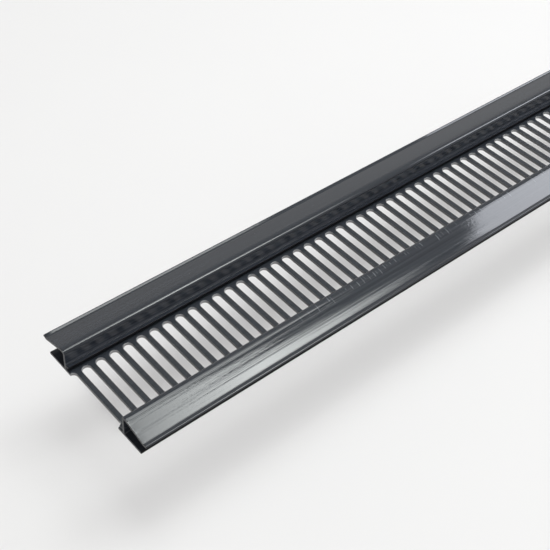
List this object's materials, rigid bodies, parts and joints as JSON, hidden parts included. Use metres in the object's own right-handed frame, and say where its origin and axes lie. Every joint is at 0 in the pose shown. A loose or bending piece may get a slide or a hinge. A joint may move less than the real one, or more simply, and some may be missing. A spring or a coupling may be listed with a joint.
{
  "type": "soffit vent",
  "caption": "Continuous soffit vent strip: slotted plate between two webs, each with an outward flange that grips a soffit board against the plate's margin.",
  "frame": {"origin": "middle of the underside of the slotted plate, halfway along the strip", "axes": "+X along the strip, +Y across it, +Z from the slotted plate towards the flanges"},
  "size_m": [0.48, 0.086, 0.0135],
  "materials": {
    "anthracite_upvc": "glossy extruded uPVC, anthracite grey"
  },
  "bodies": {
    "root": {"soffit_vent_strip": "anthracite_upvc"}
  },
  "joints": []
}
